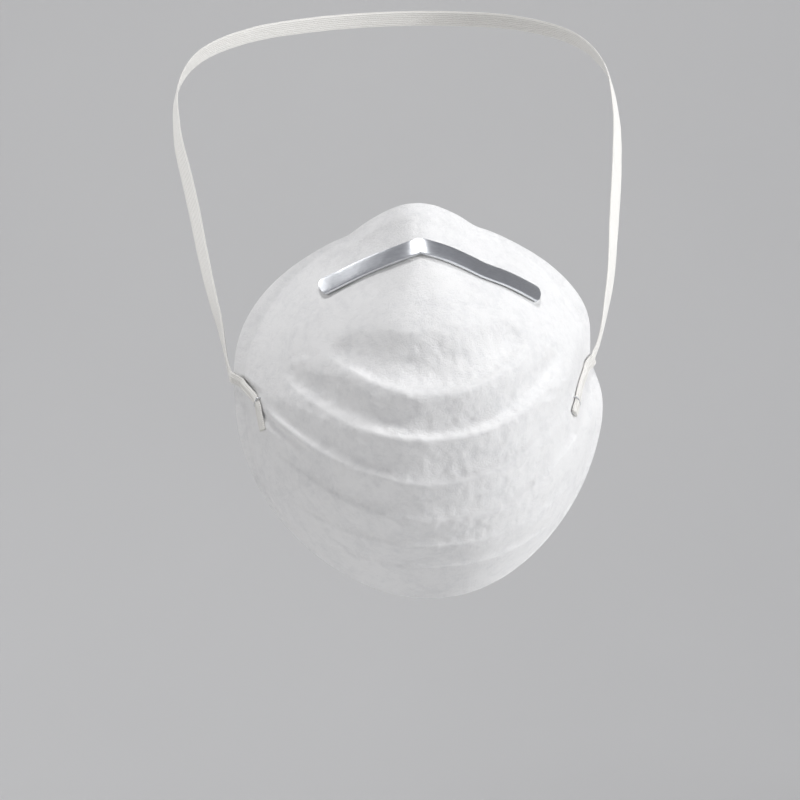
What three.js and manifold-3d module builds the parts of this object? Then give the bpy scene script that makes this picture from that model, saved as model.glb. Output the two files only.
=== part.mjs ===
// Disposable cup dust mask with a nose clip and one elastic head strap, as worn.
//
// Frame, in millimetres: +X is the wearer's left, which is the right side of a front view, +Y points back
// into the face, and +Z is up. The origin is the middle of the face opening, in the plane of the cheek edges.
//
// Pieces: outer_web, filter_web and inner_web are the three nested layers of the cup. nose_clip and
// nose_clip_adhesive sit on the nose. strap_end_left and strap_end_right are the stapled ends of the elastic,
// and strap_loop is the rest of it, which swings about the line through the two rim crossings.
import * as THREE from "three";
import { mergeVertices } from "three/addons/utils/BufferGeometryUtils.js";
import Module from "manifold-3d";

const wasm = await Module();
wasm.setup();

// ---------------------------------------------------------------------------------------------------------
// Driving dimensions
// ---------------------------------------------------------------------------------------------------------
const RIM_RADIUS = 58.4; // of the front outline, before its bumps
// Bumps of the outline: [angle above the horizontal in degrees, height, spread in degrees].
const RIM_BUMPS = [
  [90, 5.2, 15], // nose peak
  [70, -0.6, 4], // where the nose peak meets the cheek
  [28, 4.5, 31], // cheek bone
  [-90, 3.5, 33], // chin
];
const RIM_DENTS = { left: [8, -0.9, 12], right: [11, -4, 10] }; // where each strap end pulls the rim in
const NOSE_FORWARD = 27; // the rim at the nose bridge lies this far in front of the cheek edges
const NOSE_SPREAD = 27; // degrees of the rim that the nose bridge takes
const CHIN_FORWARD = 17;
const CHIN_SPREAD = 40;
const NOSE_ROUND = 2.2; // rounding of the ridge that runs up to the nose peak

// Lines across the cup, from the chin to the nose: height at the middle, the angle of the rim point where the
// line ends, the depth at the middle, and how late the line turns up towards its ends. A rib crest runs along
// each of the lines 3 to 8.
const LINES = [
  [-61.9, -90, -17, 2],
  [-59.8, -69, -19.4, 2],
  [-56.4, -50, -25.2, 2],
  [-51.3, -32, -34.2, 2.2],
  [-44.3, -18, -43.1, 2.2],
  [-36.1, 1, -50.5, 2.2],
  [-24.7, 12, -56.3, 2.1],
  [-10.8, 26, -59.5, 2.4],
  [3, 38, -59.7, 2.1],
  [22.5, 50, -53.2, 2],
  [35, 58, -46.5, 2],
  [50, 71, -36.6, 2],
  [59.5, 81, -29.6, 2],
  [63.6, 90, -27, 2],
];
const FIRST_RIB = 3; // line of the lowest crest
const TOP_RIB = 8; // line of the highest crest
const RIB_DEPTHS = [1.3, 1.5, 1.7, 2.1, 3, 3.6]; // of the groove above each crest
const RIB_REACHES = [0.68, 0.78, 0.82, 0.82, 0.77, 0.63]; // share of the half width that each groove takes
const RIB_END = 0.1; // share of the half width over which a groove runs out
const RIB_CLOSING = 0.5; // share of its height that a groove has lost at its ends
const RIB_LOW_POINT = 0.7; // below 1, a groove is deepest near its lower crest
const RIB_ROUND = 1.6; // above 1, the crests are rounded
const FLANGE_WIDTH = 5; // flat band round the rim
const FLANGE_SLOPE = 0.85; // its depth over its width
const FLANGE_FILLET = 3; // blend between the dome and the flat band

// Layers from the outside in: depth below the outer surface, thickness, thickness at the rim, and colour.
const LAYERS = [
  { name: "outer_web", top: 0, thick: 0.5, rim: 0.35, color: 0xf1f1ef },
  { name: "filter_web", top: 0.75, thick: 1.0, rim: 0.35, color: 0xf6f6f4 },
  { name: "inner_web", top: 2.0, thick: 0.6, rim: 0.35, color: 0xeeeeec },
];
const LAYER_GAP = 0.25; // at the rim, where the layers are pressed together
const RIM_PRESS = 0.14; // share of the half width over which the layers are pressed

const CLIP_WIDTH = 4.7;
const CLIP_THICK = 0.8;
// Its middle line in the front view, [x, z]: pressed over the bridge, a little askew, wavy on the right.
const CLIP_LINE = [
  [-30.6, 38.5], [-16, 44.2], [-1.6, 48.6], [0, 49], [1.6, 48.5],
  [8.2, 46], [15, 42.7], [20, 40], [28.3, 36.4], [37.8, 31.2],
];
const CLIP_BEND_AT = 0.46; // share of its length where the bend lies
const ADHESIVE_WIDTH = 3.4;
const ADHESIVE_THICK = 0.2;
const CLIP_GAP = 0.3; // above and below the adhesive

const STRAP_WIDTH = 6;
const STRAP_THICK = 0.7;
const STRAP_GAP = 0.45;
const GATHERED_WIDTH = 3.2; // between the staple and the rim
const PINCHED_WIDTH = 2.5; // under the staple
// The two stapled ends of the strap in the front view, each from its free tail to the rim: [x, z].
const STRAP_ENDS = {
  right: [[46, -6.6], [47.7, -2.6], [49.8, 1.9], [51.8, 4.9], [54.9, 8.5]],
  left: [[-51.7, -4.2], [-52.35, 1], [-52.8, 4.9], [-55, 8.6], [-57.7, 11.9]],
};
const STAPLE_SECTION = { right: 3, left: 6 }; // the section of the strap end that its staple crosses
// From there an end leaves the surface, turns over the rim and lies inside the loop: [place], [facing].
const STRAP_LIPS = {
  right: [
    [[56.4, -1.7, 9.7], [0.68, -0.73, 0]],
    [[57.45, -0.35, 10.5], [0.88, -0.47, 0]],
    [[57.9, 2.5, 11.9], [1, 0, 0]],
    [[57.95, 4.1, 13.3], [1, 0, 0]],
  ],
  left: [
    [[-59.2, -1.6, 12.7], [-0.68, -0.73, 0]],
    [[-60.25, -0.35, 13.4], [-0.88, -0.47, 0]],
    [[-60.4, 2.5, 14.5], [-1, 0, 0]],
    [[-60.45, 4.1, 15.9], [-1, 0, 0]],
  ],
};
// The loop swings about the line through both rim crossings, which is at y = 2.5, z = 13.2 in the middle. Its
// stops run from a rim crossing to the back of the head: x on the right and on the left, y, z with the line
// taken as level, and the way the outside faces on the right.
const LOOP = [
  [58.95, -61.45, 0.9, 11.8, [1, 0, 0]],
  [59, -61.5, 2.5, 13.2, [1, 0, 0]],
  [61.3, -61.7, 8.5, 18.6, [1, 0, 0]],
  [66, -62.2, 20, 29.4, [0.97, -0.14, 0.14]],
  [70.7, -63.8, 33, 41.6, [0.92, -0.26, 0.26]],
  [74.9, -65.3, 48, 56.2, [0.86, -0.36, 0.36]],
  [79, -66.5, 62, 70.5, [0.83, -0.38, 0.4]],
  [82.6, -68, 75.5, 84, [0.84, -0.34, 0.4]],
  [86, -69.5, 92, 99, [0.9, -0.2, 0.38]],
  [87.3, -67.5, 116, 117.5, [0.92, 0.12, 0.36]],
  [80.5, -57.5, 142, 132, [0.78, 0.48, 0.42]],
  [63, -37.5, 165.5, 141.5, [0.5, 0.74, 0.45]],
  [38.4, -12, 179, 146, [0.24, 0.86, 0.46]],
  [13.5, 13.5, 183, 147.3, [0, 0.88, 0.47]],
];
const HINGE_SLOPE = -0.0216; // the left end crosses the rim higher, and the loop tilts with the two ends

const STAPLE_CROWN = 4.6; // outside length, so the legs pass on both sides of the pinched strap
const STAPLE_WIRE = 0.5;
const STAPLE_LEG = 6; // from the crown to the clinched points
const STAPLE_POINT = 1.6; // length of each clinched point
const STAPLE_HOLE = 0.3; // clearance round a leg

const COLUMNS = 18; // across the cup
const STEPS = [4, 2, 2, 4, 4, 4, 4, 4, 3, 2, 2, 2, 3]; // rows of facets between one line and the next

// ---------------------------------------------------------------------------------------------------------
// Small tools
// ---------------------------------------------------------------------------------------------------------
const { degToRad, clamp, smoothstep } = THREE.MathUtils;
const bell = (value, spread) => Math.exp(-((value / spread) ** 2));

// A smooth line through the values of one column of LINES, at a fractional line number.
function onLines(column, line) {
  const i = Math.min(Math.floor(line), LINES.length - 2);
  const t = line - i;
  const at = (k) => LINES[clamp(k, 0, LINES.length - 1)][column];
  const [a, b, c, d] = [at(i - 1), at(i), at(i + 1), at(i + 2)];
  return b + 0.5 * t * (c - a + t * (2 * a - 5 * b + 4 * c - d + t * (3 * (b - c) + d - a)));
}

const otherSide = ([x, y, z]) => [-x, y, z];

// A closed solid from quads of numbered points. Quads may shrink to triangles or to nothing.
function solidFromFaces(vertices, quads) {
  const position = [];
  for (const quad of quads) {
    const corners = quad.map((k) => vertices[k]);
    for (const k of [0, 1, 2, 0, 2, 3]) position.push(...corners[k]);
  }
  const raw = new THREE.BufferGeometry();
  raw.setAttribute("position", new THREE.Float32BufferAttribute(position, 3));
  const merged = mergeVertices(raw, 1e-3);
  const index = merged.index.array;
  const kept = [];
  for (let i = 0; i < index.length; i += 3) {
    const [a, b, c] = [index[i], index[i + 1], index[i + 2]];
    if (a !== b && b !== c && a !== c) kept.push(a, b, c);
  }
  merged.setIndex(kept);
  return merged;
}

function toManifold(geometry) {
  const bare = geometry.index ? geometry.toNonIndexed() : geometry.clone();
  bare.deleteAttribute("normal");
  bare.deleteAttribute("uv");
  const merged = mergeVertices(bare, 1e-4);
  return new wasm.Manifold(
    new wasm.Mesh({
      numProp: 3,
      vertProperties: merged.attributes.position.array,
      triVerts: new Uint32Array(merged.index.array),
    }),
  );
}

function fromManifold(solid) {
  const mesh = solid.getMesh();
  const geometry = new THREE.BufferGeometry();
  geometry.setAttribute("position", new THREE.Float32BufferAttribute(mesh.vertProperties, 3));
  geometry.setIndex(new THREE.BufferAttribute(mesh.triVerts, 1));
  geometry.computeVertexNormals();
  return geometry;
}

function cut(geometry, tools) {
  return fromManifold(tools.reduce((solid, tool) => solid.subtract(toManifold(tool)), toManifold(geometry)));
}

// A closed band from its sections: each is {inner, outer}, two rows of as many points across the band.
function bandGeometry(sections) {
  const across = sections[0].inner.length;
  const ring = 2 * across;
  const vertices = sections.flatMap(({ inner, outer }) => [...inner, ...[...outer].reverse()]);
  const quads = [];
  for (let row = 0; row + 1 < sections.length; row++) {
    for (let k = 0; k < ring; k++) {
      const [a, b] = [row * ring + k, row * ring + ((k + 1) % ring)];
      quads.push([a, b, b + ring, a + ring]);
    }
  }
  const last = (sections.length - 1) * ring;
  for (let k = 0; k + 1 < across; k++) {
    const far = ring - 1 - k;
    quads.push([far, far - 1, k + 1, k]);
    quads.push([last + k, last + k + 1, last + far - 1, last + far]);
  }
  const points = vertices.map((p) => p.toArray());
  const made = solidFromFaces(points, quads);
  if (toManifold(made).volume() >= 0) return made;
  return solidFromFaces(points, quads.map((quad) => [...quad].reverse()));
}

// ---------------------------------------------------------------------------------------------------------
// The cup's outer surface
// ---------------------------------------------------------------------------------------------------------
// The rim at an angle above the horizontal, on the left if side is negative.
function rimPoint(angle, side) {
  const bumps = [...RIM_BUMPS, side < 0 ? RIM_DENTS.left : RIM_DENTS.right];
  let radius = RIM_RADIUS;
  for (const [at, height, spread] of bumps) radius += height * bell(angle - at, spread);
  const turn = degToRad(angle);
  const nose = NOSE_FORWARD * bell(angle - 90, NOSE_SPREAD);
  const chin = CHIN_FORWARD * bell(angle + 90, CHIN_SPREAD);
  return new THREE.Vector3(radius * Math.cos(turn), -nose - chin, radius * Math.sin(turn));
}

const lowerOf = (a, b, blend) => 0.5 * (a + b - Math.sqrt((a - b) ** 2 + blend ** 2));

// How far the ribs sink the surface at a line, for a share u of the half width.
function ribSink(line, u) {
  if (line <= FIRST_RIB || line >= TOP_RIB + 1) return 0;
  const groove = Math.min(Math.floor(line), TOP_RIB) - FIRST_RIB;
  const reach = RIB_REACHES[groove];
  const closing = RIB_CLOSING * Math.min(1, Math.abs(u) / reach) ** 4;
  const phase = Math.min(1, (line - FIRST_RIB - groove) / (1 - closing));
  const fade = 1 - smoothstep(Math.abs(u), reach - RIB_END, reach + 0.6 * RIB_END);
  return RIB_DEPTHS[groove] * fade * Math.max(0, Math.sin(Math.PI * phase ** RIB_LOW_POINT)) ** RIB_ROUND;
}

// The flat band round the rim, continued inwards at the depth of its inner edge, and how far in the place is.
function flangeAt(x, z) {
  const rim = rimPoint(THREE.MathUtils.radToDeg(Math.atan2(z, Math.abs(x))), x);
  const inset = Math.max(0, Math.hypot(rim.x, rim.z) - Math.hypot(x, z));
  return { inset, y: rim.y - FLANGE_SLOPE * FLANGE_WIDTH * (1 - Math.exp(-inset / FLANGE_WIDTH)) };
}

// A point of the outer surface, from a fractional line number and a share u from -1 to 1 of the half width.
function surface(line, u) {
  const rim = rimPoint(onLines(1, line), u);
  const [middleZ, middleY] = [onLines(0, line), onLines(2, line)];
  const x = rim.x * u;
  const z = middleZ + (rim.z - middleZ) * Math.abs(u) ** onLines(3, line);
  const nose = smoothstep(line, TOP_RIB, TOP_RIB + 3.5);
  const power = 2.2 - 0.75 * nose;
  const flatness = 0.8 + 0.2 * nose;
  const soft = clamp(NOSE_ROUND / Math.max(rim.x, 1e-3), 0.08, 0.6);
  const share = (Math.hypot(u, soft) - soft) / (Math.hypot(1, soft) - soft);
  const reach = Math.min(1, share / 0.95);
  const dome = middleY + (rim.y - middleY) * (1 - (1 - reach ** power) ** flatness);
  const flange = flangeAt(x, z);
  const y = lowerOf(dome, flange.y, FLANGE_FILLET * smoothstep(flange.inset, 0, 4));
  return new THREE.Vector3(x, y + ribSink(line, u), z);
}

// The outward normal, from a small step each way.
function outward(line, u) {
  const step = 0.012;
  const top = LINES.length - 1;
  const near = clamp(line, 0.04, top - 0.04);
  const inside = clamp(u, -1 + step, 1 - step);
  const up = surface(near + step, inside).sub(surface(near - step, inside));
  const side = surface(near, inside + step).sub(surface(near, inside - step));
  return side.cross(up).normalize();
}

function lineStations() {
  const stations = [];
  STEPS.forEach((count, i) => {
    for (let k = 0; k < count; k++) stations.push(i + k / count);
  });
  return [...stations, LINES.length - 1];
}

// The share of the half width at each column, closer together towards the rim.
function columnShares() {
  const shares = [];
  for (let k = 0; k <= COLUMNS; k++) {
    const t = (2 * k) / COLUMNS - 1;
    shares.push(Math.sign(t) * (1 - (1 - Math.abs(t)) ** 1.12));
  }
  return shares;
}

// The outer surface as the layers' facets lie, blended between their four corners.
function facetSurface(line, u) {
  const stations = lineStations();
  const shares = columnShares();
  const row = Math.max(0, stations.findLastIndex((s, i) => s <= line && i < stations.length - 1));
  const column = Math.max(0, shares.findLastIndex((s, i) => s <= u && i < shares.length - 1));
  const down = (line - stations[row]) / (stations[row + 1] - stations[row]);
  const along = (u - shares[column]) / (shares[column + 1] - shares[column]);
  const corner = (i, k) => surface(stations[i], shares[k]);
  const edge = (i) => corner(i, column).lerp(corner(i, column + 1), along);
  return edge(row).lerp(edge(row + 1), down);
}

// The point of the outer surface at a place of the front view, with its normal.
function onSurface(x, z) {
  let [low, high] = [0.02, LINES.length - 1.02];
  let u = 0;
  for (let i = 0; i < 30; i++) {
    const line = (low + high) / 2;
    u = clamp(x / rimPoint(onLines(1, line), x).x, -1, 1);
    if (facetSurface(line, u).z < z) low = line;
    else high = line;
  }
  return { point: facetSurface(low, u), out: outward(low, u) };
}

// One section of a band laid on the outer surface round a place of the front view, square to a direction of
// that view, between two heights above the surface.
function layAcross(x, z, [alongX, alongZ], half, low, high) {
  const { point, out } = onSurface(x, z);
  const slide = new THREE.Vector3(alongX, 0, alongZ);
  slide.y = -(slide.x * out.x + slide.z * out.z) / out.y;
  const across = out.clone().cross(slide).normalize();
  const spots = [-1, -0.5, 0, 0.5, 1].map((side) => point.clone().addScaledVector(across, side * half));
  const row = (lift) => spots.map((spot) => {
    const there = onSurface(spot.x, spot.z);
    return there.point.addScaledVector(there.out, lift);
  });
  return { inner: row(low), outer: row(high), across, out, point };
}

// ---------------------------------------------------------------------------------------------------------
// The three layers of the cup
// ---------------------------------------------------------------------------------------------------------
// How much the layers are pressed together, from 0 on the dome to 1 at the rim.
function pressing(line, u) {
  const towardsSide = smoothstep(Math.abs(u), 1 - RIM_PRESS, 1);
  const towardsTop = smoothstep(line, LINES.length - 2.2, LINES.length - 1);
  const towardsChin = 1 - smoothstep(line, 0, 1.3);
  return Math.max(towardsSide, towardsTop, towardsChin);
}

function layerGeometry(index) {
  const shares = columnShares();
  const stations = lineStations();
  const layer = LAYERS[index];
  const rimTop = LAYERS.slice(0, index).reduce((sum, above) => sum + above.rim + LAYER_GAP, 0);
  const width = shares.length;
  const vertices = [];
  for (const face of [0, 1]) {
    for (const line of stations) {
      for (const u of shares) {
        const press = pressing(line, u);
        const top = THREE.MathUtils.lerp(layer.top, rimTop, press);
        const thick = THREE.MathUtils.lerp(layer.thick, layer.rim, press);
        const p = surface(line, u).addScaledVector(outward(line, u), -(top + face * thick));
        vertices.push([p.x, p.y, p.z]);
      }
    }
  }
  // The first and last lines are single points of the rim.
  const inside = stations.length * width;
  const middle = (width - 1) / 2;
  for (const row of [0, stations.length - 1])
    for (const base of [0, inside])
      for (let k = 0; k < width; k++) {
        const start = base + row * width;
        vertices[start + k] = vertices[start + middle];
      }
  const quads = [];
  for (let row = 0; row + 1 < stations.length; row++) {
    for (let k = 0; k + 1 < width; k++) {
      const a = row * width + k;
      quads.push([a, a + 1, a + width + 1, a + width]);
      quads.push([inside + a, inside + a + width, inside + a + width + 1, inside + a + 1]);
    }
    const left = row * width;
    const right = left + width - 1;
    quads.push([left, left + width, inside + left + width, inside + left]);
    quads.push([right, inside + right, inside + right + width, right + width]);
  }
  return solidFromFaces(vertices, quads);
}

// ---------------------------------------------------------------------------------------------------------
// Nose clip
// ---------------------------------------------------------------------------------------------------------
// The strip between two heights above the outer surface, with rounded ends. Its sections lie closer together
// at the ends and at the bend.
function clipSections(low, high, width, endInset) {
  const line = new THREE.CatmullRomCurve3(CLIP_LINE.map(([x, z]) => new THREE.Vector3(x, 0, z)));
  const length = line.getLength();
  const first = endInset / length;
  const legs = [[first, CLIP_BEND_AT], [CLIP_BEND_AT, 1 - first]];
  const stops = legs.flatMap(([from, to]) =>
    Array.from({ length: 16 }, (_, k) => from + ((to - from) * (1 - Math.cos((Math.PI * k) / 16))) / 2));
  return [...stops, 1 - first].map((stop) => {
    const { x, z } = line.getPointAt(stop);
    const along = line.getTangentAt(stop);
    const radius = width / 2;
    const fromEnd = Math.min((stop - first) * length, (1 - first - stop) * length, radius);
    const half = Math.max(Math.sqrt(radius ** 2 - (radius - fromEnd) ** 2), 0.7);
    return layAcross(x, z, [along.x, along.z], half, low, high);
  });
}

// ---------------------------------------------------------------------------------------------------------
// Elastic strap
// ---------------------------------------------------------------------------------------------------------
function strapEndSections(side) {
  const count = 10;
  const plan = new THREE.CatmullRomCurve3(STRAP_ENDS[side].map(([x, z]) => new THREE.Vector3(x, 0, z)));
  const sections = [];
  for (let k = 0; k <= count; k++) {
    const { x, z } = plan.getPointAt(k / count);
    const along = plan.getTangentAt(k / count);
    const pinch = (GATHERED_WIDTH - PINCHED_WIDTH) * bell(k - STAPLE_SECTION[side], 1.2);
    const half = (GATHERED_WIDTH - pinch) / 2 - (k === 0 ? 0.3 : 0);
    sections.push(layAcross(x, z, [along.x, along.z], half, STRAP_GAP, STRAP_GAP + STRAP_THICK));
  }
  return [...sections, ...routeSections(STRAP_LIPS[side], 8, [-1, -0.5, 0, 0.5, 1], () => GATHERED_WIDTH)];
}

// Sections along a smooth route of [place, facing], with points at the given shares of the half width.
function routeSections(stops, count, spots, widthAt) {
  const route = new THREE.CatmullRomCurve3(stops.map(([place]) => new THREE.Vector3(...place)));
  const facing = new THREE.CatmullRomCurve3(stops.map(([, outside]) => new THREE.Vector3(...outside)));
  const sections = [];
  for (let k = 0; k <= count; k++) {
    const t = route.getUtoTmapping(k / count);
    const along = route.getTangent(t);
    const out = facing.getPoint(t);
    out.addScaledVector(along, -out.dot(along)).normalize();
    const across = out.clone().cross(along).normalize();
    const middle = route.getPoint(t);
    const half = (k === count ? 0.4 : 0.5) * widthAt(middle.y);
    const row = (lift) => spots.map((side) =>
      middle.clone().addScaledVector(across, side * half).addScaledVector(out, lift));
    sections.push({ inner: row(-STRAP_THICK / 2), outer: row(STRAP_THICK / 2) });
  }
  return sections;
}

// The loop, from its right end round the head to its left end. It widens from the gathered ends.
function loopSections() {
  const stop = (x, y, z, facing) => [[x, y, z + HINGE_SLOPE * x], facing];
  const right = LOOP.map(([x, , y, z, facing]) => stop(x, y, z, facing));
  const left = LOOP.slice(0, -1).map(([, x, y, z, facing]) => stop(x, y, z, otherSide(facing)));
  const widthAt = (y) => THREE.MathUtils.lerp(GATHERED_WIDTH, STRAP_WIDTH, smoothstep(y, 5, 26));
  return routeSections([...right, ...left.reverse()], 66, [-1, 1], widthAt);
}

// ---------------------------------------------------------------------------------------------------------
// Staples
// ---------------------------------------------------------------------------------------------------------
// Frame of a staple: its middle lies on the strap end, and its crown runs across the strap.
function stapleFrame(side) {
  const { across, out, point } = strapEndSections(side)[STAPLE_SECTION[side]];
  const along = out.clone().cross(across).normalize();
  const place = point.clone().addScaledVector(out, STRAP_GAP + STRAP_THICK + 0.3);
  return new THREE.Matrix4().makeBasis(across, along, out).setPosition(place);
}

function wireBox(x, z, sizeX, sizeZ) {
  return new THREE.BoxGeometry(sizeX, STAPLE_WIRE, sizeZ).translate(x, 0, z);
}

function stapleGeometry(frame) {
  const legX = (STAPLE_CROWN - STAPLE_WIRE) / 2;
  const bottom = STAPLE_WIRE - STAPLE_LEG;
  const boxes = [wireBox(0, STAPLE_WIRE / 2, STAPLE_CROWN, STAPLE_WIRE)];
  for (const side of [-1, 1]) {
    boxes.push(wireBox(side * legX, STAPLE_WIRE - STAPLE_LEG / 2, STAPLE_WIRE, STAPLE_LEG));
    const inner = side * (legX + STAPLE_WIRE / 2 - STAPLE_POINT / 2);
    boxes.push(wireBox(inner, bottom + STAPLE_WIRE / 2, STAPLE_POINT, STAPLE_WIRE));
  }
  const solids = boxes.map((box) => toManifold(box));
  return fromManifold(solids.slice(1).reduce((sum, box) => sum.add(box), solids[0])).applyMatrix4(frame);
}

function stapleHoles(frame) {
  const legX = (STAPLE_CROWN - STAPLE_WIRE) / 2;
  const width = STAPLE_WIRE + 2 * STAPLE_HOLE;
  return [-1, 1].map((side) =>
    new THREE.BoxGeometry(width, width, STAPLE_LEG + 1)
      .translate(side * legX, 0, -STAPLE_LEG / 2)
      .applyMatrix4(frame),
  );
}

// ---------------------------------------------------------------------------------------------------------
// Assembly
// ---------------------------------------------------------------------------------------------------------
const mask = new THREE.Group();

function addPiece(name, geometry, color, roughness, metalness = 0) {
  geometry.computeVertexNormals();
  const mesh = new THREE.Mesh(geometry, new THREE.MeshStandardMaterial({ color, roughness, metalness }));
  mesh.name = name;
  mask.add(mesh);
}

const sides = ["right", "left"];
const allHoles = sides.flatMap((side) => stapleHoles(stapleFrame(side)));

LAYERS.forEach((layer, index) => {
  addPiece(layer.name, cut(layerGeometry(index), allHoles), layer.color, 0.95);
});

const adhesiveTop = CLIP_GAP + ADHESIVE_THICK;
const clipLow = adhesiveTop + CLIP_GAP;
const clipBand = bandGeometry(clipSections(clipLow, clipLow + CLIP_THICK, CLIP_WIDTH, 0));
addPiece("nose_clip", clipBand, 0xc4c8cc, 0.28, 1);
const adhesive = bandGeometry(clipSections(CLIP_GAP, adhesiveTop, ADHESIVE_WIDTH, 2.5));
addPiece("nose_clip_adhesive", adhesive, 0xe8e2cc, 0.4);

for (const side of sides) {
  const frame = stapleFrame(side);
  const end = cut(bandGeometry(strapEndSections(side)), stapleHoles(frame));
  addPiece(`strap_end_${side}`, end, 0xf4f2ea, 0.85);
  addPiece(`staple_${side}`, stapleGeometry(frame), 0xb9bcc0, 0.35, 1);
}
addPiece("strap_loop", bandGeometry(loopSections()), 0xf4f2ea, 0.85);

export default mask;
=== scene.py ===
"""Disposable cup dust mask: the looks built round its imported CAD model.

Metres in Blender, and the same frame as the CAD: +X to the right of a front view, +Y back into the face,
+Z up. The shape functions work in millimetres and repeat the cup's surface from the CAD source.
"""

import math

import bmesh
import bpy
import numpy as np
from mathutils import Matrix, Vector


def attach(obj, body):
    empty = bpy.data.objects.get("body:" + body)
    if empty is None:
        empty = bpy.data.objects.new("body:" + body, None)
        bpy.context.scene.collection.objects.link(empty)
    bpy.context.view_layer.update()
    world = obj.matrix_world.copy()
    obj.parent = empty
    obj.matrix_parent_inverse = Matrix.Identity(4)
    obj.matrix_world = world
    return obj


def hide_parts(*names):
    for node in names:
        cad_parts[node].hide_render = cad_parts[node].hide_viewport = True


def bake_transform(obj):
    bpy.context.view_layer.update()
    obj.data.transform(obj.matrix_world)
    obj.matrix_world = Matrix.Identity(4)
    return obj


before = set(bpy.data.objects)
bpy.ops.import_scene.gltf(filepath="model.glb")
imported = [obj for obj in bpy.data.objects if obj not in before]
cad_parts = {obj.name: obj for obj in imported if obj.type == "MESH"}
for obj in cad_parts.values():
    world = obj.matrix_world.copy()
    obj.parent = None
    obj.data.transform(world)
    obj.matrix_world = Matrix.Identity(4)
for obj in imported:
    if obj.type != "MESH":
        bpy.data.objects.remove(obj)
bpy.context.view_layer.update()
MM = 0.001

# ------------------------------------------------------------------------------------------------------
# Camera
# ------------------------------------------------------------------------------------------------------
CAMERA_AZIMUTH = -5.0
CAMERA_ROLL = 4.4  # the mask leans this much anticlockwise in the view
CAMERA_DISTANCE = 1.05
VIEW_WIDTH = 0.2592  # seen at the plane of the cheek edges
VIEW_CENTRE = (-0.0067, 0.00155)  # of the view, from the origin, to the right and up in the picture


def make_camera():
    turn, roll = math.radians(CAMERA_AZIMUTH), math.radians(-CAMERA_ROLL)
    back = Vector((math.sin(turn), -math.cos(turn), 0))
    level = Vector((math.cos(turn), math.sin(turn), 0))
    right = level * math.cos(roll) + Vector((0, 0, 1)) * math.sin(roll)
    up = back.cross(right)
    data = bpy.data.cameras.new("camera")
    data.sensor_width = 36
    data.lens = data.sensor_width * CAMERA_DISTANCE / VIEW_WIDTH
    camera = bpy.data.objects.new("camera", data)
    place = back * CAMERA_DISTANCE + right * VIEW_CENTRE[0] + up * VIEW_CENTRE[1]
    axes = Matrix((right, up, back)).transposed()
    camera.matrix_world = Matrix.Translation(place) @ axes.to_4x4()
    bpy.context.scene.collection.objects.link(camera)
    bpy.context.scene.camera = camera


make_camera()

# ------------------------------------------------------------------------------------------------------
# The cup's outer surface, in millimetres
# ------------------------------------------------------------------------------------------------------
RIM_RADIUS = 58.4
# Bumps of the outline: angle above the horizontal, height, and spread in degrees.
RIM_BUMPS = [(90, 5.2, 15), (70, -0.6, 4), (28, 4.5, 31), (-90, 3.5, 33)]
RIM_DENTS = {"left": (8, -0.9, 12), "right": (11, -4, 10)}  # where each strap end pulls the rim in
NOSE_FORWARD, NOSE_SPREAD = 27, 27
CHIN_FORWARD, CHIN_SPREAD = 17, 40
NOSE_ROUND = 2.2
# Lines across the cup, from the chin to the nose: height at the middle, rim angle at the ends, depth at the
# middle, and how late the line turns up towards its ends. The rib crests are the lines FIRST_RIB to TOP_RIB.
LINES = np.array([
    (-61.9, -90, -17, 2),
    (-59.8, -69, -19.4, 2),
    (-56.4, -50, -25.2, 2),
    (-51.3, -32, -34.2, 2.2),
    (-44.3, -18, -43.1, 2.2),
    (-36.1, 1, -50.5, 2.2),
    (-24.7, 12, -56.3, 2.1),
    (-10.8, 26, -59.5, 2.4),
    (3, 38, -59.7, 2.1),
    (22.5, 50, -53.2, 2),
    (35, 58, -46.5, 2),
    (50, 71, -36.6, 2),
    (59.5, 81, -29.6, 2),
    (63.6, 90, -27, 2),
], float)
LAST_LINE = len(LINES) - 1
FIRST_RIB, TOP_RIB = 3, 8
RIB_DEPTHS = np.array([1.3, 1.5, 1.7, 2.1, 3.0, 3.6])
RIB_REACHES = np.array([0.68, 0.78, 0.82, 0.82, 0.77, 0.63])
RIB_END, RIB_CLOSING, RIB_LOW_POINT, RIB_ROUND = 0.1, 0.5, 0.7, 1.6
FLANGE_WIDTH, FLANGE_SLOPE, FLANGE_FILLET = 5, 0.85, 3


def bell(value, spread):
    return np.exp(-((value / spread) ** 2))


def smoothstep(value, low, high):
    t = np.clip((value - low) / (high - low), 0, 1)
    return t * t * (3 - 2 * t)


def on_lines(column, line):
    """A smooth curve through one column of LINES, at fractional line numbers."""
    i = np.minimum(np.floor(line).astype(int), LAST_LINE - 1)
    t = line - i
    a, b, c, d = (LINES[np.clip(i + k, 0, LAST_LINE), column] for k in (-1, 0, 1, 2))
    return b + 0.5 * t * (c - a + t * (2 * a - 5 * b + 4 * c - d + t * (3 * (b - c) + d - a)))


def rim_point(angle, side):
    """The rim at an angle above the horizontal, on the left side if side is negative."""
    radius = RIM_RADIUS + sum(height * bell(angle - at, spread) for at, height, spread in RIM_BUMPS)
    left, right = (height * bell(angle - at, spread) for at, height, spread in RIM_DENTS.values())
    radius = radius + np.where(np.asarray(side) < 0, left, right)
    forward = NOSE_FORWARD * bell(angle - 90, NOSE_SPREAD) + CHIN_FORWARD * bell(angle + 90, CHIN_SPREAD)
    turn = np.radians(angle)
    return radius * np.cos(turn), -forward, radius * np.sin(turn)


def lower_of(a, b, blend):
    """The lower of two values, with a rounded change from one to the other."""
    return 0.5 * (a + b - np.sqrt((a - b) ** 2 + blend**2))


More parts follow.
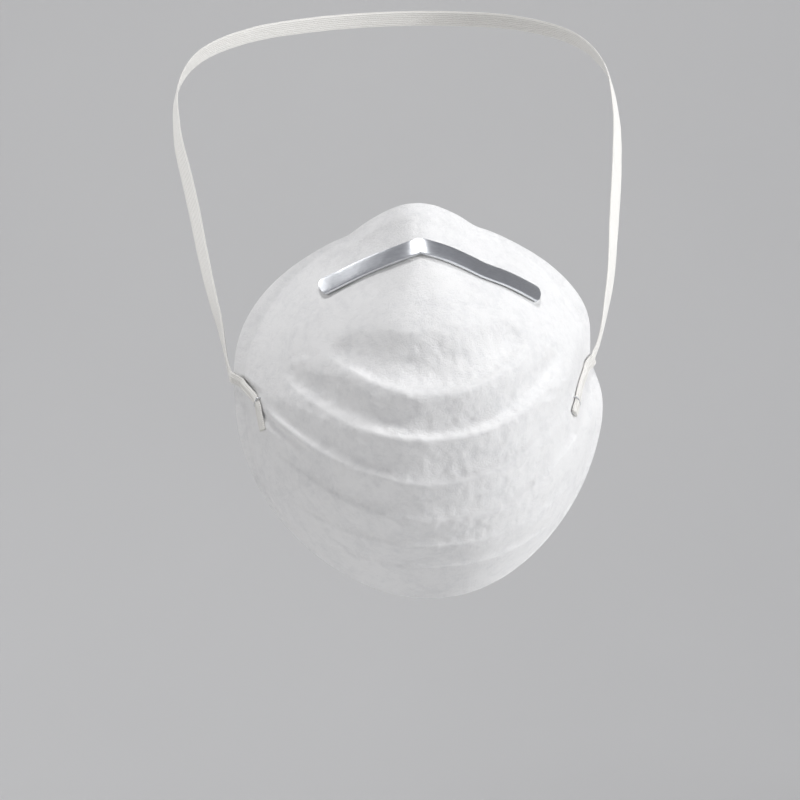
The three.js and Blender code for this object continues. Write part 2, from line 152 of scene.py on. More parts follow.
def rib_sink(line, u):
    """How far the grooves between the ribs sink the surface."""
    groove = np.clip(np.floor(line).astype(int) - FIRST_RIB, 0, TOP_RIB - FIRST_RIB)
    reach = RIB_REACHES[groove]
    closing = RIB_CLOSING * np.minimum(1, np.abs(u) / reach) ** 4
    phase = np.clip((line - FIRST_RIB - groove) / (1 - closing), 0, 1)
    fade = 1 - smoothstep(np.abs(u), reach - RIB_END, reach + 0.6 * RIB_END)
    sink = RIB_DEPTHS[groove] * fade * np.maximum(0, np.sin(np.pi * phase**RIB_LOW_POINT)) ** RIB_ROUND
    return np.where((line > FIRST_RIB) & (line < TOP_RIB + 1), sink, 0)


def rim_inset(x, z):
    """How far a place of the front view lies inside the rim, and the rim's depth there."""
    rim_x, rim_y, rim_z = rim_point(np.degrees(np.arctan2(z, np.abs(x))), x)
    return np.maximum(0, np.hypot(rim_x, rim_z) - np.hypot(x, z)), rim_y


def surface(line, u):
    """Points of the outer surface, from a line number and a share u, from -1 to 1, of the half width."""
    rim_x, rim_y, rim_z = rim_point(on_lines(1, line), u)
    middle_z, middle_y = on_lines(0, line), on_lines(2, line)
    x = rim_x * u
    z = middle_z + (rim_z - middle_z) * np.abs(u) ** on_lines(3, line)
    nose = smoothstep(line, TOP_RIB, TOP_RIB + 3.5)
    soft = np.clip(NOSE_ROUND / np.maximum(rim_x, 1e-3), 0.08, 0.6)
    share = (np.hypot(u, soft) - soft) / (np.hypot(1, soft) - soft)
    reach = np.minimum(1, share / 0.95)
    dome = middle_y + (rim_y - middle_y) * (1 - (1 - reach ** (2.2 - 0.75 * nose)) ** (0.8 + 0.2 * nose))
    inset, edge_y = rim_inset(x, z)
    flange = edge_y - FLANGE_SLOPE * FLANGE_WIDTH * (1 - np.exp(-inset / FLANGE_WIDTH))
    y = lower_of(dome, flange, FLANGE_FILLET * smoothstep(inset, 0, 4))
    return np.stack([x, y + rib_sink(line, u), z], axis=-1)


def outward(line, u, step=0.012):
    """Outward normals of the outer surface."""
    near = np.clip(line, 0.04, LAST_LINE - 0.04)
    inside = np.clip(u, -1 + step, 1 - step)
    up = surface(near + step, inside) - surface(near - step, inside)
    side = surface(near, inside + step) - surface(near, inside - step)
    normal = np.cross(side, up)
    return normal / np.linalg.norm(normal, axis=-1, keepdims=True)


def locate(x, z):
    """The line and share of the outer surface at places of the front view."""
    low, high = np.full(np.shape(x), 0.02), np.full(np.shape(x), LAST_LINE - 0.02)
    for _ in range(40):
        line = (low + high) / 2
        u = np.clip(x / rim_point(on_lines(1, line), x)[0], -1, 1)
        below = surface(line, u)[..., 2] < z
        low, high = np.where(below, line, low), np.where(below, high, line)
    return line, u


def lifted(x, z, height):
    """Points at a height above the outer surface, at places of the front view."""
    line, u = locate(x, z)
    return surface(line, u) + outward(line, u) * np.asarray(height)[..., None]


# ------------------------------------------------------------------------------------------------------
# Mesh and noise tools
# ------------------------------------------------------------------------------------------------------
def lattice_noise(points, size, seed):
    """Smooth noise from -1 to 1 at points, with features of about a size."""
    q = np.asarray(points) / size
    cell = np.floor(q).astype(np.int64)
    t = q - cell
    t = t * t * (3 - 2 * t)
    total = np.zeros(q.shape[:-1])
    for corner in range(8):
        pick = np.array([corner & 1, corner >> 1 & 1, corner >> 2 & 1])
        c = cell + pick
        mixed = (c[..., 0] * 73856093) ^ (c[..., 1] * 19349663) ^ (c[..., 2] * 83492791) ^ (seed * 2654435761)
        mixed = (mixed ^ (mixed >> 13)) * 1274126177 & 0xFFFFFFFF
        mixed = mixed ^ (mixed >> 16)
        weight = np.prod(np.where(pick, t, 1 - t), axis=-1)
        total += weight * ((mixed & 0xFFFF) / 32767.5 - 1)
    return total


def make_object(name, vertices, faces, material, uvs=None):
    """A mesh object from millimetres, with doubled vertices joined and its faces turned outward."""
    mesh = bpy.data.meshes.new(name)
    mesh.from_pydata((np.asarray(vertices).reshape(-1, 3) * MM).tolist(), [], faces)
    if uvs is not None:
        layer = mesh.uv_layers.new(name="along")
        for loop in mesh.loops:
            layer.data[loop.index].uv = uvs[loop.vertex_index]
    mesh.materials.append(material)
    thing = bpy.data.objects.new(name, mesh)
    bpy.context.scene.collection.objects.link(thing)
    tidy_mesh(mesh)
    return thing


def tidy_mesh(mesh):
    work = bmesh.new()
    work.from_mesh(mesh)
    bmesh.ops.remove_doubles(work, verts=work.verts, dist=2e-6)
    bmesh.ops.dissolve_degenerate(work, edges=work.edges, dist=1e-7)
    bmesh.ops.recalc_face_normals(work, faces=work.faces)
    for face in work.faces:
        face.smooth = True
    work.to_mesh(mesh)
    work.free()


def grid_faces(rows, columns, start=0, flip=False):
    r, c = np.meshgrid(np.arange(rows - 1), np.arange(columns - 1), indexing="ij")
    a = start + r * columns + c
    quads = np.stack([a, a + 1, a + columns + 1, a + columns], axis=-1).reshape(-1, 4)
    return (quads[:, ::-1] if flip else quads).tolist()


def slab(outer, inner):
    """Vertices and faces of a closed sheet between two grids of points."""
    rows, columns = outer.shape[:2]
    count = rows * columns
    faces = grid_faces(rows, columns) + grid_faces(rows, columns, count, flip=True)
    top, bottom = np.arange(columns), (rows - 1) * columns + np.arange(columns)
    left, right = np.arange(rows) * columns, np.arange(rows) * columns + columns - 1
    for edge in (top, bottom, left, right):
        for a, b in zip(edge[:-1], edge[1:]):
            faces.append([int(a), int(b), int(b) + count, int(a) + count])
    return np.concatenate([outer.reshape(-1, 3), inner.reshape(-1, 3)]), faces


# ------------------------------------------------------------------------------------------------------
# Materials
# ------------------------------------------------------------------------------------------------------
class Nodes:
    """Short names for building a material's nodes."""

    def __init__(self, name):
        self.material = bpy.data.materials.new(name)
        self.material.use_nodes = True
        self.tree = self.material.node_tree
        self.shader = self.tree.nodes["Principled BSDF"]
        self.place = self.node("ShaderNodeTexCoord").outputs["Object"]

    def node(self, kind, **settings):
        made = self.tree.nodes.new(kind)
        for key, value in settings.items():
            setattr(made, key, value)
        return made

    def link(self, source, target):
        self.tree.links.new(source, target)

    def set(self, **values):
        for key, value in values.items():
            self.shader.inputs[key.replace("_", " ")].default_value = value

    def stretched(self, scale, turn=(0, 0, 0)):
        """Coordinates turned first and then scaled, each way by its own factor."""
        mapping = self.node("ShaderNodeMapping", vector_type="TEXTURE")
        mapping.inputs["Scale"].default_value = [1 / factor for factor in scale]
        mapping.inputs["Rotation"].default_value = [math.radians(t) for t in turn]
        self.link(self.place, mapping.inputs["Vector"])
        return mapping.outputs["Vector"]

    def noise(self, vector, scale, detail=2.0, roughness=0.5, distortion=0.0):
        made = self.node("ShaderNodeTexNoise")
        self.link(vector, made.inputs["Vector"])
        made.inputs["Scale"].default_value = scale
        made.inputs["Detail"].default_value = detail
        made.inputs["Roughness"].default_value = roughness
        made.inputs["Distortion"].default_value = distortion
        return made.outputs["Fac"]

    def math(self, operation, a, b=None):
        made = self.node("ShaderNodeMath", operation=operation)
        for socket, value in zip(made.inputs, (a, b)):
            if isinstance(value, (int, float)):
                socket.default_value = value
            elif value is not None:
                self.link(value, socket)
        return made.outputs[0]

    def paint(self, value, stops):
        """The base colour, from a value and a ramp of colours."""
        made = self.node("ShaderNodeValToRGB")
        elements = made.color_ramp.elements
        while len(elements) < len(stops):
            elements.new(0.5)
        for element, (at, colour) in zip(elements, stops):
            element.position = at
            element.color = (*colour, 1)
        self.link(value, made.inputs["Fac"])
        self.link(made.outputs["Color"], self.shader.inputs["Base Color"])

    def range(self, value, low, high, to_low, to_high):
        made = self.node("ShaderNodeMapRange")
        self.link(value, made.inputs["Value"])
        names = ("From Min", "From Max", "To Min", "To Max")
        for name, number in zip(names, (low, high, to_low, to_high)):
            made.inputs[name].default_value = number
        return made.outputs["Result"]

    def bump(self, height, distance, strength=1.0, below=None):
        made = self.node("ShaderNodeBump")
        made.inputs["Distance"].default_value = distance
        made.inputs["Strength"].default_value = strength
        self.link(height, made.inputs["Height"])
        if below is not None:
            self.link(below, made.inputs["Normal"])
        return made.outputs["Normal"]


def grey(value, warm=0.0):
    return (value, value - 0.3 * warm, value - warm)


def nonwoven(name, light, dark, fibre=0.00012, lump=0.0003, gloss=0.9):
    """Felted synthetic fibres: strands lying every way over a cloudy, uneven web."""
    n = Nodes(name)
    strands = None
    for turn in ((0, 12, 8), (15, 62, 0), (0, 104, 20), (8, 141, 0), (40, 0, 50), (70, 30, 0)):
        drawn = n.noise(n.stretched((260, 3200, 3200), turn), 1.0, 1.0, 0.5, 0.4)
        layer = n.range(drawn, 0.5, 0.68, 0, 1)
        strands = layer if strands is None else n.math("MAXIMUM", strands, layer)
    cloud = n.noise(n.place, 420, 4.0, 0.65, 0.5)
    patches = n.noise(n.place, 90, 3.0, 0.55, 0.8)
    tone = n.math("ADD", n.math("MULTIPLY", cloud, 0.5), n.math("MULTIPLY", patches, 0.5))
    tone = n.math("ADD", tone, n.math("MULTIPLY", strands, 0.08))
    n.paint(tone, [(0.36, dark), (0.6, light)])
    n.link(n.range(cloud, 0.3, 0.7, gloss - 0.06, min(1, gloss + 0.06)), n.shader.inputs["Roughness"])
    coarse = n.bump(cloud, lump, 0.7)
    n.link(n.bump(strands, fibre, 0.7, coarse), n.shader.inputs["Normal"])
    n.set(Sheen_Weight=0.25, Sheen_Roughness=0.6, Specular_IOR_Level=0.25)
    return n.material


def clip_metal():
    """Satin aluminium with rolling grain along the strip, soft dents and a few scratches."""
    n = Nodes("clip_aluminium")
    grain = n.noise(n.stretched((60, 900, 2600), (0, 0, 0)), 1.0, 3.0, 0.6)
    dents = n.noise(n.place, 170, 2.0, 0.5, 0.4)
    scratches = n.range(n.noise(n.stretched((150, 300, 5200), (0, 24, 0)), 1.0, 1.0), 0.7, 0.8, 0, 1)
    n.paint(grain, [(0.3, (0.74, 0.76, 0.79)), (0.7, (0.82, 0.84, 0.87))])
    n.link(n.range(n.math("ADD", grain, n.math("MULTIPLY", scratches, 0.4)), 0.3, 1.0, 0.3, 0.44),
           n.shader.inputs["Roughness"])
    low = n.bump(dents, 0.0002, 0.4)
    n.link(n.bump(n.math("SUBTRACT", grain, scratches), 0.00001, 0.3, low), n.shader.inputs["Normal"])
    n.set(Metallic=1.0)
    return n.material


def staple_metal():
    """Drawn steel wire."""
    n = Nodes("staple_wire")
    grain = n.noise(n.place, 2600, 2.0, 0.5)
    n.paint(grain, [(0.35, (0.62, 0.63, 0.65)), (0.7, (0.8, 0.81, 0.83))])
    n.link(n.range(grain, 0.3, 0.7, 0.28, 0.42), n.shader.inputs["Roughness"])
    n.link(n.bump(grain, 0.00002, 0.4), n.shader.inputs["Normal"])
    n.set(Metallic=1.0)
    return n.material


def glue():
    """A streaky film of dried glue."""
    n = Nodes("glue_film")
    streaks = n.noise(n.stretched((300, 300, 1400)), 1.0, 3.0, 0.6)
    n.paint(streaks, [(0.35, (0.74, 0.70, 0.56)), (0.65, (0.86, 0.83, 0.72))])
    n.link(n.range(streaks, 0.3, 0.7, 0.28, 0.45), n.shader.inputs["Roughness"])
    n.link(n.bump(streaks, 0.00008, 0.6), n.shader.inputs["Normal"])
    return n.material


def elastic():
    """Braided elastic: rubber cords along the tape with fine yarn slanting over them."""
    n = Nodes("elastic_tape")
    uv = n.node("ShaderNodeUVMap", uv_map="along").outputs["UV"]
    parts = n.node("ShaderNodeSeparateXYZ")
    n.link(uv, parts.inputs[0])
    across, along = parts.outputs["X"], parts.outputs["Y"]

    def stripes(value, pitch):
        return n.range(n.math("SINE", n.math("MULTIPLY", value, 2 * math.pi / pitch)), -1, 1, 0, 1)

    lean, yarn_pitch, cord_pitch = 0.55, 0.00062, 0.00075
    slant = n.math("ADD", along, n.math("MULTIPLY", across, lean))
    back = n.math("SUBTRACT", along, n.math("MULTIPLY", across, lean))
    yarn = n.math("MAXIMUM", stripes(slant, yarn_pitch), stripes(back, yarn_pitch))
    cords = stripes(across, cord_pitch)
    fuzz = n.noise(uv, 2600, 3.0, 0.65)
    tone = n.math("ADD", n.math("MULTIPLY", cords, 0.35), n.math("MULTIPLY", yarn, 0.3))
    tone = n.math("ADD", tone, n.math("MULTIPLY", fuzz, 0.5))
    n.paint(tone, [(0.25, (0.66, 0.645, 0.60)), (0.7, (0.90, 0.89, 0.86))])
    low = n.bump(cords, 0.00012, 0.8)
    mid = n.bump(yarn, 0.00006, 0.8, low)
    n.link(n.bump(fuzz, 0.00004, 0.6, mid), n.shader.inputs["Normal"])
    n.set(Roughness=0.82, Sheen_Weight=0.2, Specular_IOR_Level=0.3)
    return n.material


# ------------------------------------------------------------------------------------------------------
# The cup's three layers
# ------------------------------------------------------------------------------------------------------
# For each layer: depth of its front face under the surface, thickness, and both at the pressed rim.
LAYERS = {
    "outer_web": (0.0, 0.7, 0.0, 0.48),
    "filter_web": (0.74, 1.15, 0.52, 0.48),
    "inner_web": (1.94, 0.66, 1.04, 0.48),
}
ROWS, COLUMNS = 330, 250


def cup_grid():
    """Lines and shares of a fine grid, closer together at the chin, the nose and the rim."""
    t = np.linspace(0, 1, ROWS)
    line = LAST_LINE * (t - 0.03 * np.sin(2 * math.pi * t))
    s = np.linspace(-1, 1, COLUMNS)
    share = np.sign(s) * (1 - (1 - np.abs(s)) ** 1.15)
    return np.meshgrid(np.clip(line, 0, LAST_LINE), share, indexing="ij")


# Creases where the strap pulls on the cup, in the front view: places, depth, half width.
CREASES = [
    ([(-52.2, 2.5), (-50.2, -1.4), (-45.8, -6), (-40, -12), (-33, -17.5)], 1.0, 0.9),
    ([(-57.6, 13.4), (-56, 11.2), (-53.6, 8.6), (-51.2, 6.6)], 0.7, 0.8),
    ([(46, -3.2), (40, -7.2), (33.5, -12.6), (27, -17.8)], 0.3, 0.8),
    ([(45, 2), (38, 0.4), (31, -0.5)], 0.22, 1.1),
]


def crease_depth(points, places, depth, width):
    """A valley along a run of places, running out at both ends."""
    steps = 60
    way, _ = spline(places, steps)
    x, z = points[..., 0, None], points[..., 2, None]
    gaps = np.hypot(x - way[:, 0], z - way[:, 1])
    nearest, at = gaps.min(axis=-1), gaps.argmin(axis=-1) / (steps - 1)
    run = smoothstep(at, 0, 0.12) * (1 - smoothstep(at, 0.55, 1))
    return depth * run * (bell(nearest, width) - 0.35 * bell(nearest - 2.2 * width, width))


def relief(points, inset):
    """Unevenness of the felt, in millimetres outward: crumples on the ribbed middle, faint near the rim."""
    middle = smoothstep(inset, 6, 24) * (1 - smoothstep(points[..., 2], 14, 30))
    broad = 0.2 * lattice_noise(points, 13, 1) * smoothstep(inset, 2, 14)
    wandering = points + 0.8 * lattice_noise(points, 3, 5)[..., None]
    folded = 0.5 - np.abs(lattice_noise(wandering, 4.6, 2))
    lumps = 0.42 * folded + 0.2 * lattice_noise(points, 1.9, 3)
    creases = sum(crease_depth(points, *crease) for crease in CREASES)
    return broad + lumps * (0.12 + 0.88 * middle) - creases


def cup_layer(name, material):
    top, thick, rim_top, rim_thick = LAYERS[name]
    line, u = cup_grid()
    base, normal = surface(line, u), outward(line, u)
    inset, _ = rim_inset(base[..., 0], base[..., 2])
    pressed = 1 - smoothstep(inset, 0.2, 8)
    upper = top + (rim_top - top) * pressed
    depth = thick + (rim_thick - thick) * pressed
    bumps = relief(base, inset)
    outer = base + normal * (bumps - upper)[..., None]
    inner = base + normal * (bumps - upper - depth)[..., None]
    made = make_object(name.replace("web", "layer"), *slab(outer, inner), material)
    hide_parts(name)
    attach(made, "cup")
    return made


# ------------------------------------------------------------------------------------------------------
# Nose clip
# ------------------------------------------------------------------------------------------------------
CLIP_WIDTH, CLIP_THICK = 4.7, 0.8
# Its middle line in the front view: pressed over the bridge, a little askew, with a wave in the right leg.
CLIP_LINE = [
    (-30.6, 38.5), (-16, 44.2), (-1.6, 48.6), (0, 49), (1.6, 48.5),
    (8.2, 46), (15, 42.7), (20, 40), (28.3, 36.4), (37.8, 31.2),
]
CLIP_CORNERS = (2.6, 1.1)  # rounding of the upper and the lower corners
CLIP_UNDER = 0.62  # height of its underside above the cup
GLUE_WIDTH, GLUE_UNDER, GLUE_TOP, GLUE_END = 3.4, 0.12, 0.5, 2.5  # the film stops short of the strip's ends


def corner_inset(from_end, radius):
    """How much a rounded corner takes off the half width, at a distance from the end."""
    return radius - np.sqrt(np.maximum(0, radius**2 - np.maximum(0, radius - from_end) ** 2))


def clip_strip(name, width, low, high, end_inset, material, node):
    stations, spots = 180, 13
    middle, length = spline(CLIP_LINE, 400)
    share = 0.5 - 0.5 * np.cos(np.pi * np.linspace(0, 1, stations))
    reached = end_inset + (length - 2 * end_inset) * share
    x, z = (np.interp(reached, np.linspace(0, length, 400), middle[:, k]) for k in (0, 1))
    along = np.gradient(np.stack([x, z], axis=-1), axis=0)
    along /= np.linalg.norm(along, axis=-1, keepdims=True)
    from_end = np.minimum(reached - end_inset, length - end_inset - reached) + 0.02
    upper, lower = (width / 2 - corner_inset(from_end, min(r, width / 2 - 0.05)) for r in CLIP_CORNERS)
    s = np.linspace(-1, 1, spots)
    reach = np.where(s > 0, upper[:, None], lower[:, None]) * s
    spot_x, spot_z = x[:, None] - along[:, 1:] * reach, z[:, None] + along[:, :1] * reach
    crown = 1 - 0.12 * np.abs(s) ** 6  # the edges are rolled over a little
    # The metal's face is a little uneven, and the glue film's is not.
    waver = 0.05 * lattice_noise(np.stack([spot_x, 0 * spot_x, spot_z], axis=-1), 6, 21)
    inner = lifted(spot_x, spot_z, np.full_like(spot_x, low))
    outer = lifted(spot_x, spot_z, low + (high - low) * crown + waver * (high > GLUE_TOP))
    made = make_object(name, *slab(outer, inner), material)
    bevel = made.modifiers.new("rounded edges", "BEVEL")
    bevel.width, bevel.segments, bevel.limit_method = 0.12 * MM, 3, "ANGLE"
    bevel.angle_limit = math.radians(50)
    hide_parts(node)
    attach(made, "cup")


# ------------------------------------------------------------------------------------------------------
# Head strap
# ------------------------------------------------------------------------------------------------------
STRAP_WIDTH, STRAP_THICK, STRAP_LIFT = 6.0, 0.7, 0.2
GATHERED_WIDTH, PINCH = 3.2, 0.7  # between staple and rim, and how much narrower still under the staple
# The stapled ends in the front view, from the free tail towards the rim: [x, z].
STRAP_ENDS = {
    "right": [(46, -6.6), (47.7, -2.6), (49.8, 1.9), (51.8, 4.9), (53.9, 7.6)],
    "left": [(-51.7, -4.2), (-52.35, 1), (-52.8, 4.9), (-55, 8.6), (-56.9, 11.4)],
}
STAPLE_REACH = {"right": 4.4, "left": 9.2}  # from the tail to the staple
# From there the strap turns over the rim: place, and the way its outside faces.
STRAP_LIPS = {
    "right": [((56.3, -1.4, 9.6), (0.68, -0.73, 0)), ((57.45, -0.35, 10.5), (0.88, -0.47, 0)),
              ((58, 2.5, 11.9), (1, 0, 0))],
    "left": [((-59.2, -1.4, 12.7), (-0.68, -0.73, 0)), ((-60.25, -0.35, 13.4), (-0.88, -0.47, 0)),
             ((-60.5, 2.5, 14.5), (-1, 0, 0))],
}
# The loop: x on the right and on the left, y, height above the middle of the hinge line, and facing.
LOOP = [
    (61.3, -61.2, 8.5, 18.6, (1, 0, 0)),
    (66, -62, 20, 29.4, (0.97, -0.14, 0.14)),
    (70.7, -63.8, 33, 41.6, (0.92, -0.26, 0.26)),
    (74.9, -65.3, 48, 56.2, (0.86, -0.36, 0.36)),
    (79, -66.5, 62, 70.5, (0.83, -0.38, 0.4)),
    (82.6, -68, 75.5, 84, (0.84, -0.34, 0.4)),
    (86, -69.5, 92, 99, (0.9, -0.2, 0.38)),
    (87.3, -67.5, 116, 117.5, (0.92, 0.12, 0.36)),
    (80.5, -57.5, 142, 132, (0.78, 0.48, 0.42)),
    (63, -37.5, 165.5, 141.5, (0.5, 0.74, 0.45)),
    (38.4, -12, 179, 146, (0.24, 0.86, 0.46)),
    (13.5, 13.5, 183, 147.3, (0, 0.88, 0.47)),
]
HINGE_SLOPE = -0.0216  # the strap crosses the rim higher on the left, and the loop tilts with the two ends


def spline(points, count):
    """Points spaced evenly along a smooth line through points, and the line's length."""
    p = np.asarray(points, float)
    p = np.concatenate([2 * p[:1] - p[1:2], p, 2 * p[-1:] - p[-2:-1]])
    fine = []
    for i in range(1, len(p) - 2):
        t = np.linspace(0, 1, 24, endpoint=False)[:, None]
        a, b, c, d = p[i - 1], p[i], p[i + 1], p[i + 2]
        bend = 2 * a - 5 * b + 4 * c - d + t * (3 * (b - c) + d - a)
        fine.append(b + 0.5 * t * (c - a + t * bend))
    fine = np.concatenate([*fine, p[-2:-1]])
    steps = np.linalg.norm(np.diff(fine[:, :3], axis=0), axis=1)
    reached = np.concatenate([[0], np.cumsum(steps)])
    even = np.linspace(0, reached[-1], count)
    found = [np.interp(even, reached, fine[:, k]) for k in range(p.shape[1])]
    return np.stack(found, axis=-1), reached[-1]


def end_route(side):
    """The stapled end of the strap on the cup, as places and the way its outside faces."""
    plan, _ = spline(STRAP_ENDS[side], 12)
    line, u = locate(plan[:, 0], plan[:, 1])
    out = outward(line, u)
    middle = surface(line, u) + out * (STRAP_LIFT + STRAP_THICK / 2)
    return np.concatenate([middle, out], axis=1)


def loop_route():
    """The loop, from the right end round the back of the head to the left end."""
    right = [(x, y, z + HINGE_SLOPE * x, *facing) for x, _, y, z, facing in LOOP]
    left = [(x, y, z + HINGE_SLOPE * x, -facing[0], *facing[1:]) for _, x, y, z, facing in LOOP[:-1]]
    return np.array(right + left[::-1], float)


def strap_route():
    """The whole strap, from the tail on the right round the head to the tail on the left."""
    lips = {}
    for side, stops in STRAP_LIPS.items():
        lips[side] = np.array([(*place, *facing) for place, facing in stops])
    right = np.concatenate([end_route("right"), lips["right"]])
    left = np.concatenate([end_route("left"), lips["left"]])[::-1]
    return np.concatenate([right, loop_route(), left])


def strap_width(reached, length):
    """Full width: gathered over the cup, pinched under each staple, flat on the head."""
    width = np.full_like(reached, STRAP_WIDTH)
    for side, from_tail in (("right", reached), ("left", length - reached)):
        gathered = 1 - smoothstep(from_tail, 20, 52)
        pinched = bell(from_tail - STAPLE_REACH[side], 1.7)
        width -= gathered * (STRAP_WIDTH - GATHERED_WIDTH) + pinched * PINCH
    return width


def make_strap(material):
    count, spots = 1100, 41
    route, length = spline(strap_route(), count)
    reached = np.linspace(0, length, count)
    place, out = route[:, :3], route[:, 3:]
    along = np.gradient(place, axis=0)
    along /= np.linalg.norm(along, axis=1, keepdims=True)
    out = out - along * np.sum(out * along, axis=1, keepdims=True)
    out /= np.linalg.norm(out, axis=1, keepdims=True)
    across = np.cross(out, along)
    s = np.linspace(-1, 1, spots)
    width = strap_width(reached, length) + 0.12 * lattice_noise(place, 4, 12)
    crowding = (STRAP_WIDTH / width)[:, None]
    thick = STRAP_THICK * crowding**0.6
    # Rubber cords run along the strap, and where it is gathered its outside folds between them.
    cords = 0.045 * np.cos(s * math.pi * 8) * crowding
    folds = 0.16 * (crowding - 1) * np.sin(s * 7 + 1.3 * lattice_noise(place, 5, 13)[:, None])
    rounding = np.sqrt(np.maximum(0, 1 - np.abs(s) ** 7))
    wave = 0.06 * lattice_noise(place, 7, 11)[:, None]
    low = wave + (-STRAP_THICK / 2 + 0.05 - cords) * rounding
    high = wave + (thick - STRAP_THICK / 2 - 0.05 + cords + folds) * rounding
    flat = place[:, None] + across[:, None] * (width[:, None] / 2 * s)[..., None]
    outer = flat + out[:, None] * high[..., None]
    inner = flat + out[:, None] * low[..., None]
    v = np.tile(reached[:, None], (1, spots))
    u = np.tile(s * STRAP_WIDTH / 2, (count, 1))
    uvs = np.stack([u, v], axis=-1).reshape(-1, 2) * MM
    made = make_object("head_strap", *slab(outer, inner), material, np.concatenate([uvs, uvs]))
    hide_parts("strap_loop", "strap_end_right", "strap_end_left")
    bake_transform(made)
    return made


# ------------------------------------------------------------------------------------------------------
# Staples
# ------------------------------------------------------------------------------------------------------
STAPLE_CROWN, STAPLE_WIRE, STAPLE_LEG, STAPLE_POINT = 4.1, 0.5, 5.7, 1.4
STAPLE_LIFT = 0.1  # of the wire above the strap
WIRE_FLATNESS = 0.9


def staple_frame(side):
    """The ways across and along the strap and outward, as rows, and the staple's place."""
    steps = 200
    plan, length = spline(STRAP_ENDS[side], steps)
    at = int(STAPLE_REACH[side] / length * (steps - 1))
    line, u = locate(plan[[at, at + 3], 0], plan[[at, at + 3], 1])
    point, out = surface(line, u), outward(line, u)[0]
    along = point[1] - point[0]
    along -= out * np.dot(along, out)
    along /= np.linalg.norm(along)
    across = np.cross(out, along)
    place = point[0] + out * (STRAP_LIFT + STRAP_THICK + STAPLE_LIFT)
    return np.array([across, along, out]), place


def make_staple(side, material):
    """A bent wire: crown over the strap, legs through the cup and points turned in behind it."""
    steps, spots = 120, 17
    axes, place = staple_frame(side)
    leg, wire = (STAPLE_CROWN - STAPLE_WIRE) / 2, STAPLE_WIRE / 2
    low = STAPLE_WIRE - STAPLE_LEG + wire
    tip = leg - STAPLE_POINT + wire
    bend, shoulder, hook = 0.7, 0.5, 0.25  # of the corners, the crown's ends and the turned-in points
    half = [(-tip, low + hook), (-leg + bend, low), (-leg, low + bend), (-leg, wire - bend),
            (-leg + shoulder, wire)]
    path = half + [(-x, z) for x, z in reversed(half)]
    line, _ = spline([(x, 0, z) for x, z in path], steps)
    along = np.gradient(line, axis=0)
    along /= np.linalg.norm(along, axis=1, keepdims=True)
    side_way = np.array([0.0, 1.0, 0.0])
    up_way = np.cross(along, side_way)
    turn = np.linspace(0, 2 * math.pi, spots)
    # The wire is flattened a little, and each end is cut to a point.
    from_end = np.minimum(np.arange(steps), np.arange(steps)[::-1])
    taper = np.minimum(1, 0.35 + from_end / 8)[:, None, None]
    upward = up_way[:, None] * np.cos(turn)[None, :, None] * WIRE_FLATNESS
    ring = (upward + side_way * np.sin(turn)[None, :, None]) * taper
    tube = line[:, None] + ring * wire
    ends = [np.repeat(line[k][None, None], spots, axis=1) for k in (0, -1)]
    grid = np.concatenate([ends[0], tube, ends[1]]) @ axes + place
    made = make_object(f"staple_wire_{side}", grid, grid_faces(len(grid), spots), material)
    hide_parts(f"staple_{side}")
    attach(made, "cup")
    return made


# ------------------------------------------------------------------------------------------------------
# Putting it together
# ------------------------------------------------------------------------------------------------------
cover = nonwoven("cover_felt", grey(0.87), grey(0.77, -0.01))
lining = nonwoven("lining_felt", grey(0.80), grey(0.68, 0.01), fibre=0.00008, lump=0.0002, gloss=0.8)
padding = nonwoven("filter_felt", grey(0.88), grey(0.78), fibre=0.0002)
cup_layer("outer_web", cover)
cup_layer("filter_web", padding)
cup_layer("inner_web", lining)

clip_top = CLIP_UNDER + CLIP_THICK
clip_strip("nose_strip", CLIP_WIDTH, CLIP_UNDER, clip_top, 0, clip_metal(), "nose_clip")
clip_strip("nose_strip_glue", GLUE_WIDTH, GLUE_UNDER, GLUE_TOP, GLUE_END, glue(), "nose_clip_adhesive")

strap = make_strap(elastic())
steel = staple_metal()
for side in ("right", "left"):
    make_staple(side, steel)


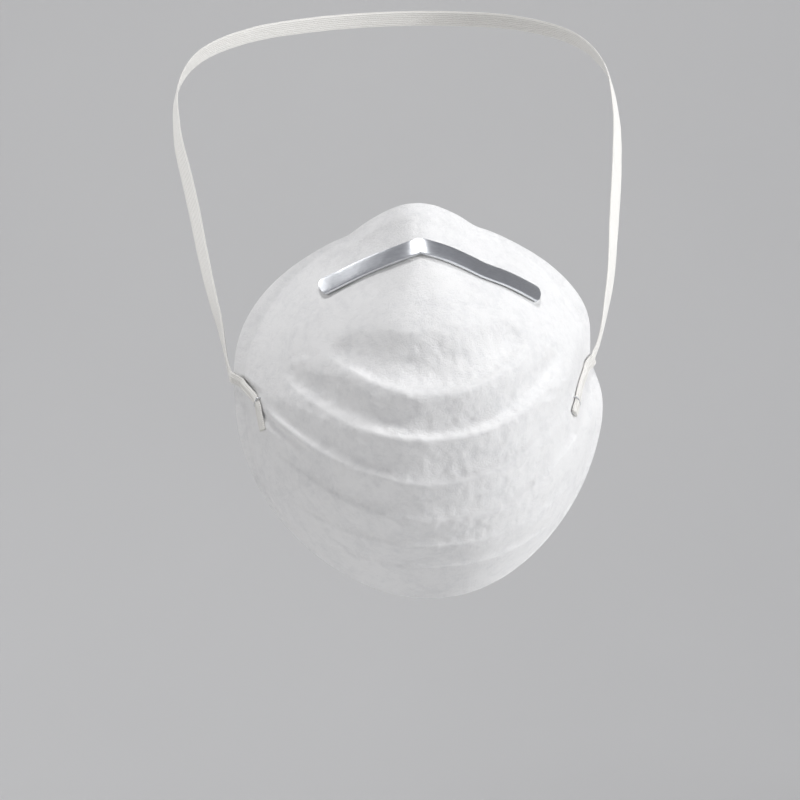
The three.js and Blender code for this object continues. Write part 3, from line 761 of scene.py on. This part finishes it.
# ------------------------------------------------------------------------------------------------------
# Studio
# ------------------------------------------------------------------------------------------------------
def make_backdrop():
    """A pale floor that curves up into a wall behind the mask."""
    floor_z, wall_y, bend, front_y, top_z, half = -0.27, 1.5, 0.6, -2.2, 2.6, 3.0
    profile = [(front_y, floor_z), (wall_y - bend, floor_z)]
    for k in range(1, 25):
        a = math.radians(90 * k / 24)
        profile.append((wall_y - bend + bend * math.sin(a), floor_z + bend - bend * math.cos(a)))
    profile.append((wall_y, top_z))
    vertices = [(x, y, z) for y, z in profile for x in (-half, half)]
    faces = [(2 * k, 2 * k + 1, 2 * k + 3, 2 * k + 2) for k in range(len(profile) - 1)]
    mesh = bpy.data.meshes.new("backdrop")
    mesh.from_pydata(vertices, [], faces)
    for polygon in mesh.polygons:
        polygon.use_smooth = True
    n = Nodes("backdrop_paper")
    cloud = n.noise(n.place, 3.0, 2.0)
    n.paint(cloud, [(0.3, grey(0.68)), (0.7, grey(0.7))])
    n.set(Roughness=0.95)
    mesh.materials.append(n.material)
    backdrop = bpy.data.objects.new("backdrop", mesh)
    bpy.context.scene.collection.objects.link(backdrop)


def add_light(name, place, size, power, colour=(1, 1, 1)):
    data = bpy.data.lights.new(name, "AREA")
    data.shape, data.size, data.energy, data.color = "DISK", size, power, colour
    light = bpy.data.objects.new(name, data)
    light.location = place
    light.rotation_mode = "QUATERNION"
    light.rotation_quaternion = (-Vector(place)).to_track_quat("-Z", "Y")
    bpy.context.scene.collection.objects.link(light)


make_backdrop()
add_light("key", (1.25, -0.5, 0.3), 0.4, 12.8)
add_light("fill", (-1.15, -0.75, 0.42), 0.6, 4.8, (1, 0.985, 0.96))
add_light("top", (0.0, -0.36, 1.35), 0.35, 10)
add_light("back", (-0.75, 0.85, 0.75), 0.7, 3.5)
world = bpy.data.worlds.new("studio")
world.use_nodes = True
world.node_tree.nodes["Background"].inputs["Color"].default_value = (0.91, 0.92, 1, 1)
world.node_tree.nodes["Background"].inputs["Strength"].default_value = 0.2
bpy.context.scene.world = world
bpy.context.scene.view_settings.view_transform = "Standard"
